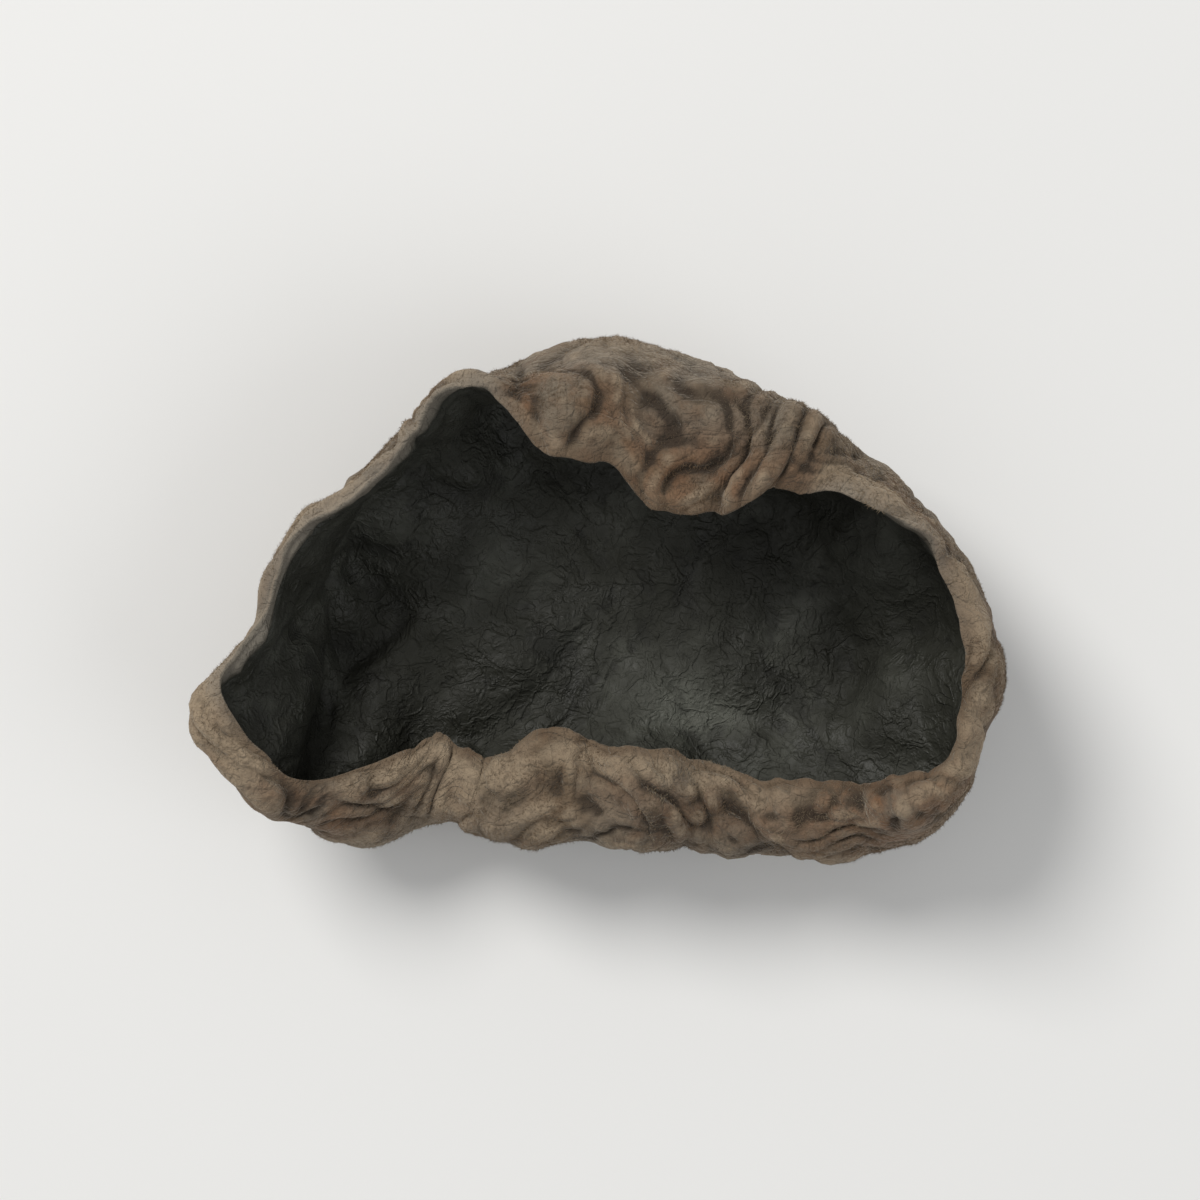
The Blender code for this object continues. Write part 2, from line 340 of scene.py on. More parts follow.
# Narrow lines where a noise passes through zero: the noise, and how wide they are.
LINES = {
    "lines": ((2.9, 79, 32), 0.25),
    "folds": ((1.9, 75, 32), 0.20),
    "fine_folds": ((1.1, 79, 40), 0.24),
}
# The inner face's folds come and go, and where they are, its fine ones lose this much.
FOLDING = ((3.4, 74, 30), 0.55, 0.7)
FINE_FOLD_LOSS = 0.7
GRAINS = {"grain": (0.36, 69, 40), "inner_grain": (0.45, 78, 40)}
# The frill of the free margin: shares of it with their noises, and where it starts.
FRILLS = ((1.0, (4.2, 92, 32)), (0.45, (1.9, 93, 32)))
FRILL_FROM = 0.80

# What each relief is the sum of: fields, each times its share of a depth in the settings.
# The inner face shows the outer wrinkles from behind, with folds of its own.
OUTER_RELIEF = {
    "wrinkle_depth": {"fan": 1.6, "net": 0.3, "fine_net": 0.3},
    "pucker_depth": {"margin": 1.0, "fine_margin": 0.4},
    "line_depth": {"lines": 1.0},
    "grain_depth": {"grain": 1.0},
}
INNER_RELIEF = {
    "inner_wrinkle_depth": {"fan": -0.7, "margin": -0.8, "inner_net": 0.5,
                            "inner_fine_net": 0.4, "lines": 0.5, "folds": -0.8,
                            "fine_folds": -0.5},
    "grain_depth": {"inner_grain": 0.4},
}
SHEET_RELIEF = {
    "crumple_depth": {"broad": 1.0, "margin": -0.4},
    "frill_depth": {"frill": 1.0},
}

# The relief shading runs from painted shade in valleys to painted highlight on crests: the
# height of a crest on each face, the outer shading at no height, and how much more painted
# shade its pinches and the tongue get.
OUTER_CREST, INNER_CREST = 0.075, 0.06
OUTER_TONE, PINCH_SHADE, TONGUE_SHADE = 0.05, 2.5, 0.35
# Places in plan, and how far they spread each way: a painted highlight on the inner face,
# where a tilted facet would catch the light, and reddish places and dusty, paler ones on
# the outer face.
FACET_HIGHLIGHTS = (((2.9, -2.4), (1.25, 0.7)),)
BLUSHES = (((2.6, 4.2), (2.0, 1.3)), ((-1.0, 6.2), (1.4, 0.8)), ((7.4, -4.6), (2.2, 1.4)),
           ((-7.6, -4.6), (1.6, 0.9)))
DUSTINGS = (((-3.8, -4.6), (2.8, 1.0)), ((-9.4, -2.8), (1.4, 1.6)))
# The turn of a margin, in degrees, that stands upright with a pale grey edge, and of a
# folded one.
UPRIGHT_TURN, FOLDED_TURN = 75, 118


def come_and_go(points, noise, mean, swing):
    """A share from 0 to 1 that swings with a noise about its mean."""
    return ease(mean + swing * waves(points, *noise))


def billow(noise, rounding, mean=0.8):
    """Cushions with sharp valleys between them, from about -0.6 to 1.2."""
    return np.sqrt(noise ** 2 + rounding) - mean


def notch(off):
    """A narrow valley's profile: 1 in its middle, and about a third of it at 1 from there."""
    return 1 / (1 + off ** 2) ** 1.5


def round_mouth(bearing):
    """The wall line's arc length, wound on a circle of the same length, in millimetres."""
    wall, _ = wall_line(bearing)
    steps = norm(np.roll(wall, -1, 0) - wall, axis=-1)
    turn = 2 * pi * (np.cumsum(steps) - steps) / steps.sum()
    return steps.sum() / (2 * pi) * np.stack([np.cos(turn), np.sin(turn)], -1)


def rays(sheet, share, bearing):
    """Wrinkles that radiate from the attachment: rounded cushions, and narrow grooves.

    A band is a noise on a circle of bearings from the attachment, and changes slowly with
    the distance.  Farther bands have more waves, so the wrinkles branch outwards.
    """
    away = flat_sheet(share, bearing) - ATTACHMENT
    distance = norm(away, axis=-1)
    aim = np.arctan2(away[:, 1], away[:, 0]) + RAY_WANDER * waves(sheet, *RAY_BEND)
    soft, sharp = 0, 0
    for count, start, end, soft_seed, sharp_seed in RAY_BANDS:
        circle = count / (2 * pi)
        place = np.stack([circle * np.cos(aim), circle * np.sin(aim),
                          RAY_SLOWNESS * distance], -1)
        window = ease((distance - start) / RAY_FADE) * (1 - ease((distance - end) / RAY_FADE))
        soft = soft + window * billow(waves(place, 1.0, soft_seed), RAY_ROUNDING)
        noise = waves(place, RAY_GROOVE_WAVE, sharp_seed)
        sharp = sharp - window * notch(noise / RAY_GROOVE_WIDTH)
    return soft, sharp


def row_of_cushions(phase, rounding=0.05, mean=0.68):
    """Cushions one half wave wide, with sharp valleys where the phase is a whole number."""
    return np.sqrt(np.sin(pi * phase) ** 2 + rounding) - mean


def wander(lie, sheet, amounts, seeds):
    """How far a row strays: a noise along the sheet and one in space."""
    return sum(amount * waves(points, wavelength, seed)
               for points, (amount, wavelength), seed in zip((lie, sheet), amounts, seeds))


def ribs(sheet, lie, count, *seeds):
    """Cushions side by side round the margin, each running across the roll."""
    turn = np.arctan2(lie[:, 1], lie[:, 0]) / (2 * pi)
    return row_of_cushions(count * turn + wander(lie * ACROSS, sheet, RIB_WANDER, seeds))


def streaks(sheet, lie, to_margin, gap, *seeds):
    """Cushions that follow the margin, one behind the other, and cross now and then."""
    return row_of_cushions(to_margin / gap + wander(lie * ALONG, sheet, STREAK_WANDER, seeds))


def pinches(sheet, share, bearing):
    """Single creases across the rolled margin, deepest past the crown of the roll."""
    total = 0
    bend = PINCH_WANDER * waves(sheet, *PINCH_BEND)
    for degrees, depth, half_width in PINCHES:
        centre = np.array([radians(degrees)])
        middle, _ = wall_line(centre)
        off = turn_from(centre, bearing) * norm(middle) + bend * share
        total = total + depth * notch(off / half_width)
    return total * ease((share - BELLY_SHARE) / PINCH_RISE)


def gullies(sheet, share):
    """Grooves along straight lines in plan, on the roll alone, wandering a little."""
    total = 0
    bend = np.stack([waves(sheet, *noise) for noise in GULLY_BENDS], -1)
    plan = sheet[:, :2] + GULLY_WANDER * bend
    for start, end, depth, half_width in GULLIES:
        way = np.subtract(end, start)
        along = np.clip((plan - start) @ way / (way @ way), 0, 1)
        off = norm(plan - start - along[:, None] * way, axis=-1)
        total = total + depth * ease((1 - along) / GULLY_TAIL) * notch(off / half_width)
    return total * rise(share, GULLY_FROM, GULLY_TO)


def patches(sheet, places):
    """Soft patches round places in plan: the sum of one Gaussian for each."""
    return sum(np.exp(-(((sheet[:, :2] - place) / spread) ** 2).sum(-1))
               for place, spread in places)


def wrinkles(sheet, lie, to_margin, share, bearing):
    """What the relief is summed from: cushions, grooves down to -1, and pinches in mm."""
    fields = {name: waves(sheet, *noise) for name, noise in GRAINS.items()}
    for name, (noise, rounding) in NETS.items():
        fields[name] = billow(waves(sheet, *noise), rounding)
    for name, (noise, width) in LINES.items():
        fields[name] = -notch(waves(sheet, *noise) / width)

    roll = rise(share, ROLL_FROM, RAYS_TO)
    fields["broad"] *= ease(share / BROAD_FULL) * (1 - ROLL_CALM * roll)
    folding = come_and_go(sheet, *FOLDING)
    fields["folds"] *= folding
    fields["fine_folds"] *= 1 - FINE_FOLD_LOSS * folding

    tongue = 1 - rise(np.abs(turn_from(TONGUE_BEARING, bearing)), TONGUE_WHOLE, TONGUE_GONE)
    over = rise(share, OVER_FROM, OVER_TO)
    depth = roll * (1 + over * (ROLL_DEPTH - 1 + (TONGUE_DEPTH - ROLL_DEPTH) * tongue))
    crosswise = CROSSWISE_SWING * waves(sheet, *CROSSWISE_NOISE)
    crosswise = np.clip(CROSSWISE + TONGUE_CROSSWISE * tongue + crosswise, 0, 1)
    coarse, fine = (ribs(sheet, lie, *rib) * crosswise
                    + streaks(sheet, lie, to_margin, *streak) * (1 - crosswise)
                    for rib, streak in zip(RIBS, STREAKS))

    fan, fan_lines = rays(sheet, share, bearing)
    puckering = come_and_go(sheet, *PUCKERING)
    frill = sum(size * waves(lie * ACROSS, *noise) for size, noise in FRILLS)
    fields.update(
        fan=fan * (1 - roll),
        lines=fan_lines * (1 - roll) + fields["lines"] * puckering,
        margin=depth * coarse * (COARSE_STAY + (1 - COARSE_STAY) * puckering),
        fine_margin=depth * fine * (1 - FINE_LOSS * puckering),
        frill=frill * rise(share, FRILL_FROM, 1),
        pinch=pinches(sheet, share, bearing) + gullies(sheet, share),
        tongue=tongue * over)
    return fields


def relief(shape, fields, recipe):
    """The sum of a recipe's fields, each times its share of a depth in the settings."""
    return sum(getattr(shape, depth) * share * fields[name]
               for depth, shares in recipe.items() for name, share in shares.items()) / MM


def grid_normals(grid):
    """Normals of a grid that closes round its columns, towards the inner side."""
    along = np.gradient(grid, axis=0)
    across = np.roll(grid, -1, axis=1) - np.roll(grid, 1, axis=1)
    return unit(np.cross(along, across))


def bulge(grid, normal, rows=4, columns=7):
    """How far a place stands out, on the outer side, from those round it."""
    padded = np.concatenate([grid[rows:0:-1], grid, grid[-2:-2 - rows:-1]])
    up, down = padded[2 * rows:], padded[:-2 * rows]
    mean = (up + down + np.roll(grid, columns, 1) + np.roll(grid, -columns, 1)) / 4
    return ((mean - grid) * normal).sum(-1)


def untangle(face, guide, product=0.45, reach=2, rounds=40):
    """Relax an offset face where it has folded through itself in a tight bend.

    There the product of its normal and the sheet's is low.  Such places, and those in
    reach of them, move to the mean of their neighbours, until no more are found.
    """
    face = face.copy()
    for _ in range(rounds):
        turned = (grid_normals(face) * guide).sum(-1) < product
        turned[0] = False
        if not turned.any():
            break
        for axis in (0, 1) * reach:
            turned = turned | np.roll(turned, 1, axis) | np.roll(turned, -1, axis)
        turned[0] = False
        up = np.concatenate([face[1:], face[-1:]])
        down = np.concatenate([face[:1], face[:-1]])
        mean = (up + down + np.roll(face, 1, 1) + np.roll(face, -1, 1)) / 4
        face[turned] = mean[turned]
    return face


def column_shares(rows):
    """The share of a column at each row of a face; rows lie closer on the roll."""
    roll_rows = int(rows * ROLL_ROWS_SHARE)
    return np.concatenate([
        np.linspace(0, BELLY_SHARE, rows - roll_rows, endpoint=False)[1:],
        np.linspace(BELLY_SHARE, 1, roll_rows),
    ])


def half_thickness(share):
    """Half of the sheet: it thins with the cube of the share, and runs out at the edge."""
    body = BELLY_THICKNESS - (BELLY_THICKNESS - MARGIN_THICKNESS) * share ** 3
    thinning = rise(share, 1 - EDGE_SHARE, 1)
    return (body * (1 - thinning) + EDGE_THICKNESS * thinning) / 2


def round_edge(grid, outer, inner):
    """Rows round the free margin, on a half circle from the outer face to the inner."""
    way = unit(grid[-1] - grid[-2])
    middle, across = (outer[-1] + inner[-1]) / 2, (inner[-1] - outer[-1]) / 2
    reach = norm(across, axis=-1, keepdims=True)
    turns = np.linspace(-pi / 2, pi / 2, MARGIN_ROWS + 2)[1:-1, None, None]
    return middle + way * reach * np.cos(turns) + across * np.sin(turns)


def ear_grid(shape):
    """The closed surface as rows of points, with what the finish reads at each point.

    The rows run from the bottom over the outer face to the free margin, round its edge,
    and back over the inner face.  Each face stands off the middle of the sheet by half
    the thickness plus its own relief.
    """
    shares = column_shares(shape.rows)
    bearings = np.linspace(0, 2 * pi, shape.columns, endpoint=False)
    ring = round_mouth(bearings)
    full_share, bearing = (a.ravel() for a in np.meshgrid(shares, bearings, indexing="ij"))
    nick = np.tile(sum(depth * come_and_go(ring, *going) for depth, going in NICKS), len(shares))
    share = full_share * (1 - nick * rise(full_share, NICK_FROM, 1))

    def rows(values):
        return values.reshape(len(shares), shape.columns, *values.shape[1:])

    sheet = settle(dried_sheet(share, bearing))
    steps = norm(np.diff(rows(sheet), axis=0), axis=-1)
    length = np.pad(np.cumsum(steps, axis=0), ((1, 0), (0, 0)))
    to_margin = (length[-1] - length).ravel()
    lie = np.concatenate([np.tile(ring, (len(shares), 1)), length.reshape(-1, 1)], -1)
    fields = wrinkles(sheet, lie, to_margin, share, bearing)
    push = relief(shape, fields, SHEET_RELIEF) + fields["pinch"]
    push = push * ease(sheet[:, 2] / CRUMPLE_CLEAR)
    grid = rows(sheet) + grid_normals(rows(sheet)) * rows(push)[..., None]
    normal = grid_normals(grid)

    half = half_thickness(full_share)
    fade = EDGE_RELIEF + (1 - EDGE_RELIEF) * ease(to_margin / EDGE_FADE)
    outer_height = relief(shape, fields, OUTER_RELIEF)
    inner_height = relief(shape, fields, INNER_RELIEF)
    outer = untangle(grid - normal * rows(half + outer_height * fade)[..., None], normal)
    inner = untangle(grid + normal * rows(half + inner_height * fade)[..., None], normal)
    points = np.concatenate([outer, round_edge(grid, outer, inner), inner[::-1]])
    points[..., 2] = np.maximum(points[..., 2], 0)
    low, high = points.min((0, 1)), points.max((0, 1))
    points -= np.array([(low[0] + high[0]) / 2, (low[1] + high[1]) / 2, low[2]])

    # Painted shading of the outer face: low in valleys, pinches and on the tongue for painted
    # shade, high on crests for painted highlight.
    outer_relief_shading = (outer_height / OUTER_CREST + OUTER_TONE - PINCH_SHADE * fields["pinch"]
                  - TONGUE_SHADE * fields["tongue"])
    # Patches of painted highlight on an inner facet, and of reddish and dusty colour outside.
    bloom, blush, dusting = (rows(patches(sheet, p)) for p in (FACET_HIGHLIGHTS, BLUSHES, DUSTINGS))
    upright = 1 - rise(rows(stations_at(bearing)[:, 4]), UPRIGHT_TURN, FOLDED_TURN)
    stand, none = bulge(grid, normal), 0 * bloom
    to_margin, lie = rows(to_margin), rows(lie)
    facts = {
        "inside": (none, np.linspace(0, 1, MARGIN_ROWS + 2)[1:-1, None], none + 1),
        # The relief shading and the bulge carry painted shade and painted highlight to the
        # finish.
        "tone": (rows(outer_relief_shading), 0, rows(inner_height / INNER_CREST)),
        "bulge": (stand, 0, -stand),
        "to_margin": (to_margin, 0, to_margin),
        "upright": (upright, upright[-1], upright),
        "bloom": (none, 0, bloom),
        "blush": (blush, blush[-1], none),
        "dusting": (dusting, dusting[-1], none),
        "lie": (lie, lie[-1], lie),
    }
    for name, (outside, edge, inside) in facts.items():
        edge = np.broadcast_to(edge, (MARGIN_ROWS, *outside.shape[1:]))
        facts[name] = np.concatenate([outside, edge, inside[::-1]])
    return points, facts


def grid_mesh(name, points, facts):
    """A closed mesh from a grid of rows, each end gathered into one pole point."""
    rows, columns, _ = points.shape
    poles = np.stack([points[0].mean(0), points[-1].mean(0)])
    corners = np.concatenate([points.reshape(-1, 3), poles])
    index = np.arange(rows * columns).reshape(rows, columns)
    here, over = index[:-1], index[1:]
    quads = np.stack([here, np.roll(here, -1, 1), np.roll(over, -1, 1), over], -1)
    first, last = index[0], index[-1]
    start = np.stack([np.roll(first, -1), first, np.full(columns, rows * columns)], -1)
    end = np.stack([last, np.roll(last, -1), np.full(columns, rows * columns + 1)], -1)
    faces = quads.reshape(-1, 4).tolist() + start.tolist() + end.tolist()
    mesh = bpy.data.meshes.new(name)
    mesh.from_pydata((corners * MM).tolist(), [], faces)
    mesh.shade_smooth()
    for fact, values in facts.items():
        at_poles = np.stack([values[0].mean(0), values[-1].mean(0)])
        vector = values.ndim == 3
        attribute = mesh.attributes.new(fact, "FLOAT_VECTOR" if vector else "FLOAT", "POINT")
        values = np.concatenate([values.ravel(), at_poles.ravel()])
        attribute.data.foreach_set("vector" if vector else "value", values.astype(np.float32))
    return mesh


# ---- The down on the outer face, in millimetres ----

DOWN_PIECES = 2
DOWN_SEED = 101
# How deep a hair is rooted, how far it leans from upright towards the margin, and how far
# that way turns aside, in radians.
DOWN_ROOT_DEPTH = 0.012
DOWN_LEAN = (radians(38), radians(72))
DOWN_TURN = 0.9
# Lengths and widths of the hairs, as shares of the longest and the thickest.
DOWN_LENGTHS = (0.6, 1.0)
DOWN_WIDTHS = (0.7, 1.0)
# Where the down is whole, and how much of its length is left where it is worn.
DOWN_WHOLE = ((2.6, 111), 0.5, 0.7)
DOWN_WORN_LENGTH = 0.35
# A hair's root is an even triangle with corners at these angles; its fourth is the tip.
HAIR_CORNERS = (radians(90), radians(210), radians(330))
HAIR_FACES = np.array([(0, 1, 3), (1, 2, 3), (2, 0, 3), (2, 1, 0)])


def outer_face(ear, shape):
    """The grid of the ear's outer face, in millimetres, read back from its mesh."""
    places = np.empty(len(ear.data.vertices) * 3)
    ear.data.vertices.foreach_get("co", places)
    rows = shape.rows - 1
    return places.reshape(-1, 3)[:rows * shape.columns].reshape(rows, shape.columns, 3) / MM


def scatter(face, count, rng):
    """Places spread evenly over a grid, with the normal and the way to the margin at each.

    A cell is drawn by its area, and the place in it by two random shares.
    """
    right = np.roll(face, -1, 1)
    cell = np.cross(face[1:] - face[:-1], right[:-1] - face[:-1])
    area = np.cumsum(norm(cell, axis=-1).ravel())
    drawn = np.searchsorted(area, rng.uniform(0, area[-1], count))
    row, column = np.unravel_index(np.minimum(drawn, area.size - 1), cell.shape[:2])
    u, v = rng.uniform(size=(2, count, 1))

    def inside_cell(grid):
        ahead = np.roll(grid, -1, 1)
        near = grid[row, column] * (1 - u) + ahead[row, column] * u
        return near * (1 - v) + (grid[row + 1, column] * (1 - u) + ahead[row + 1, column] * u) * v

    out, way = -grid_normals(face), np.gradient(face, axis=0)
    return inside_cell(face), unit(inside_cell(out)), unit(inside_cell(way))


def down_mesh(name, face, shape, number):
    """Short hairs: each is a closed three-sided spike that leans roughly to the margin."""
    rng = np.random.default_rng(DOWN_SEED + number)
    count = shape.hairs
    root, out, way = scatter(face, count, rng)
    turn = DOWN_TURN * rng.normal(size=(count, 1))
    way = way * np.cos(turn) + np.cross(out, way) * np.sin(turn)
    lean = rng.uniform(*DOWN_LEAN, size=(count, 1))
    aim = out * np.cos(lean) + way * np.sin(lean)
    whole = come_and_go(root, *DOWN_WHOLE)[:, None]
    length = shape.hair_length / MM * rng.uniform(*DOWN_LENGTHS, (count, 1))
    length = length * (DOWN_WORN_LENGTH + (1 - DOWN_WORN_LENGTH) * whole)
    width = shape.hair_width / MM * rng.uniform(*DOWN_WIDTHS, (count, 1))
    across = unit(np.cross(aim, out))
    up = np.cross(across, aim)
    root = root - out * DOWN_ROOT_DEPTH
    corners = [root + width / sqrt(3) * (across * cos(a) + up * sin(a))
               for a in HAIR_CORNERS]
    spikes = np.stack([*corners, root + aim * length], 1)
    spikes[..., 2] = np.maximum(spikes[..., 2], 0)
    first = spikes.shape[1] * np.arange(count)[:, None, None]
    mesh = bpy.data.meshes.new(name)
    mesh.from_pydata((spikes.reshape(-1, 3) * MM).tolist(), [],
                     (first + HAIR_FACES).reshape(-1, 3).tolist())
    return mesh


# ---- Finishes ----

# A noise is given as the size of its lumps in metres, its detail, roughness and distortion.
# A ramp is given as the values where it starts and is full, and what it gives at both.

# Layers of colour, from the first to the last: the colour, what it reads, the values where
# it starts and is full, and how much it covers.  Thin flesh comes after those of the down.
DOWN_LAYERS = (
    ("outer_grey", "patches", 0.34, 0.60, 1.0),
    ("outer_rubbed", "rubbing", 0.48, 0.66, 0.80),
)
# Painted shade in valleys and hollows, painted highlight on crests and on what stands out; the
# highlight colour also marks dust, and the shade colour dark specks.
RELIEF_LAYERS = (
    ("shade_and_specks", "tone", 0.10, -1.05, 0.88),
    ("shade_and_specks", "bulge", 0.02, -0.20, 0.75),
    ("highlight_and_dust", "tone", 0.25, 1.4, 0.65),
    ("highlight_and_dust", "bulge", 0.04, 0.30, 0.55),
    ("highlight_and_dust", "dusty", 0.0, 0.9, 0.8),
    ("shade_and_specks", "specks", 0.45, 0.70, 0.35),
)
# Grey bloom with a painted highlight on one facet, and painted shade at the bottoms of the inner
# wrinkles.
INNER_LAYERS = (
    ("inner_bloom_and_highlight", "bloom", 0.44, 0.94, 1.0),
    ("inner_wrinkle_shade", "tone", -0.25, -1.1, 0.55),
)
# The noises that the layers read, or that break up what they read.
COLOUR_NOISES = {
    "grain": (0.0005, 4.0, 0.65),
    "patches": (0.0042, 4.0, 0.6),
    "specks": (0.00022, 3.0, 0.7),
    "rubbing": (0.0025, 5.0, 0.65, 0.6),
    "redness": (0.0017, 4.0, 0.6),
    "dustiness": (0.0034, 3.0, 0.6, 0.4),
    "mould": (0.0036, 5.0, 0.62, 0.4),
    "wobble": (0.0006, 3.0, 0.55),
}
NOISE_MEAN = 0.5
GRAIN_TONE = 1.6
# The thin flesh reddens towards the margin (in millimetres from it) and where it blushes.
FLESH_RAMP, BLUSH_FLESH, REDNESS_RAMP = (3.4, 0.5, 0.0, 0.35), 0.7, (0.32, 0.58)
# Dust lies along the margin, in patches, less where it blushes and more in dusty places.
DUST_RAMP, DUSTINESS_RAMP = (1.2, 0.6, 0.0, 0.70), (0.38, 0.50)
BLUSH_LOSS, DUSTING_GAIN = 0.6, 0.45
# How much of the painted facet highlight goes into the bloom.
FACET_HIGHLIGHT_SHARE = 0.60
# Where the inner colour takes over, how far that border wobbles, and the edge's own strip.
INSIDE_RAMP, INSIDE_WOBBLE = (0.30, 0.55), 0.5
EDGE_RAMP = (0.0, 0.40, 0.65, 0.0)

# Bumps of each face: strength, lumps, a fine noise with its weight, creases that follow the
# sheet (weight, size in millimetres, stretch), and folds with no set direction (weight,
# size in metres, width).
OUTER_BUMPS = (1.0, (0.0004, 4.0, 0.65), (0.45, (0.00008, 2.0, 0.7)),
               ((0.32, 0.55, (0.25, 0.25, 1.0)), (0.224, 0.5, (1.0, 1.0, 0.25))),
               ((-0.30, 0.0009, 0.07), (-0.30, 0.00045, 0.09)))
INNER_BUMPS = (0.9, (0.0006, 5.0, 0.62), (0.25, (0.00012, 2.0, 0.7)), (),
               ((0.35, 0.00085, 0.05), (0.21, 0.0004, 0.08)))
BUMP_DISTANCE = 0.00009
CREASE_NOISE, CREASE_WIDTH = (2.0, 0.5, 0.3), 0.06
FOLD_NOISE = (3.0, 0.5, 0.5)
# Sockets that are the same all over a finish, and the noises and ramps of the others.
OUTER_SOCKETS = {"Roughness": 0.9, "Specular IOR Level": 0.28, "Sheen Weight": 0.30,
                 "Sheen Roughness": 0.45, "Sheen Tint": (0.78, 0.68, 0.55)}
INNER_SOCKETS = {"Specular IOR Level": 0.36}
DOWN_SOCKETS = {"Roughness": 0.85, "Specular IOR Level": 0.25}
FLOOR_SOCKETS = {"Roughness": 0.75}
INNER_ROUGHNESS = ((0.0011, 4.0, 0.6), (0.35, 0.65, 0.52, 0.76))
DOWN_PATCHES = ((0.0021, 3.0, 0.6), (0.35, 0.65))
DOWN_HAIRS = ((0.00025, 1.0, 0.5), (0.35, 0.65, 0.0, 0.5))


class Field:
    """A number at each place of a material; sums and products of fields add Math nodes."""

    def __init__(self, board, socket):
        self.board, self.socket = board, socket

    def __add__(self, other):
        return self.board.math("ADD", self, other)

    def __sub__(self, other):
        return self.board.math("SUBTRACT", self, other)

    def __mul__(self, other):
        return self.board.math("MULTIPLY", self, other)

    def __abs__(self):
        return self.board.math("ABSOLUTE", self)

    def ramp(self, start, full, low=0.0, high=1.0):
        """A smooth rise from low to high while the field goes from start to full."""
        node = self.board.add("ShaderNodeMapRange", {
            "Value": self, "From Min": start, "From Max": full, "To Min": low,
            "To Max": high}, interpolation_type="SMOOTHSTEP")
        return Field(self.board, node.outputs["Result"])


class NodeBoard:
    """A material's node tree, with a short call for each kind of node."""

    def __init__(self, name):
        self.material = bpy.data.materials.new(name)
        self.material.use_nodes = True
        self.tree = self.material.node_tree

    def add(self, kind, inputs=(), **settings):
        node = self.tree.nodes.new(kind)
        for setting, value in settings.items():
            setattr(node, setting, value)
        for socket, value in dict(inputs).items():
            self.put(node.inputs[socket], value)
        return node

    def put(self, socket, value):
        value = value.socket if isinstance(value, Field) else value
        if isinstance(value, bpy.types.NodeSocket):
            self.tree.links.new(value, socket)
        else:
            socket.default_value = (*value, 1.0) if socket.type == "RGBA" else value

    def finish(self, sockets):
        """Set the shader's sockets, and give the finished material."""
        for socket, value in sockets.items():
            self.put(self.tree.nodes["Principled BSDF"].inputs[socket], value)
        return self.material

    def math(self, operation, *values):
        node = self.add("ShaderNodeMath", enumerate(values), operation=operation)
        return Field(self, node.outputs[0])

    def attribute(self, name, output="Fac"):
        return Field(self, self.add("ShaderNodeAttribute", attribute_name=name).outputs[output])

    def noise(self, size, detail, roughness, distortion=0.0, where=None):
        """Noise whose lumps are about size across, in metres unless it is told where."""
        if where is None:
            where = self.add("ShaderNodeTexCoord").outputs["Object"]
        node = self.add("ShaderNodeTexNoise", {
            "Vector": where, "Scale": 1 / size, "Detail": detail, "Roughness": roughness,
            "Distortion": distortion})
        return Field(self, node.outputs["Fac"])

    def creases(self, size, stretch):
        """0 in thin creases and 1 between them; they follow the sheet, size mm apart."""
        where = self.add("ShaderNodeMapping", {
            "Vector": self.attribute("lie", "Vector"), "Scale": stretch}).outputs[0]
        return abs(self.noise(size, *CREASE_NOISE, where) - NOISE_MEAN).ramp(0.0, CREASE_WIDTH)

    def folds(self, size, width):
        """1 on thin folds and 0 between them, size metres apart, with no set direction."""
        return abs(self.noise(size, *FOLD_NOISE) - NOISE_MEAN).ramp(width, 0.0)

    def bumps(self, strength, lumps, fine, creases, folds):
        """The normal of a sum of lumps, a fine noise, creases and folds."""
        weight, noise = fine
        height = self.noise(*noise) * weight + self.noise(*lumps)
        for weight, size, stretch in creases:
            height = height + self.creases(size, stretch) * weight
        for weight, size, width in folds:
            height = height + self.folds(size, width) * weight
        return self.add("ShaderNodeBump", {"Height": height, "Strength": strength,
                                           "Distance": BUMP_DISTANCE}).outputs["Normal"]

    def mix(self, share, first, second):
        """Colour first where share is 0 and second where it is 1."""
        node = self.add("ShaderNodeMix", {"Factor": share}, data_type="RGBA")
        sockets = [socket for socket in node.inputs if socket.type == "RGBA"]
        for socket, colour in zip(sockets, (first, second)):
            self.put(socket, colour)
        return [socket for socket in node.outputs if socket.type == "RGBA"][0]

    def layers(self, colour, layers, fields, colours):
        """Lay colours one over the other, each where its field says."""
        for name, read, start, full, cover in layers:
            share = fields[read].ramp(start, full, 0.0, cover)
            colour = self.mix(share, colour, getattr(colours, name))
        return colour


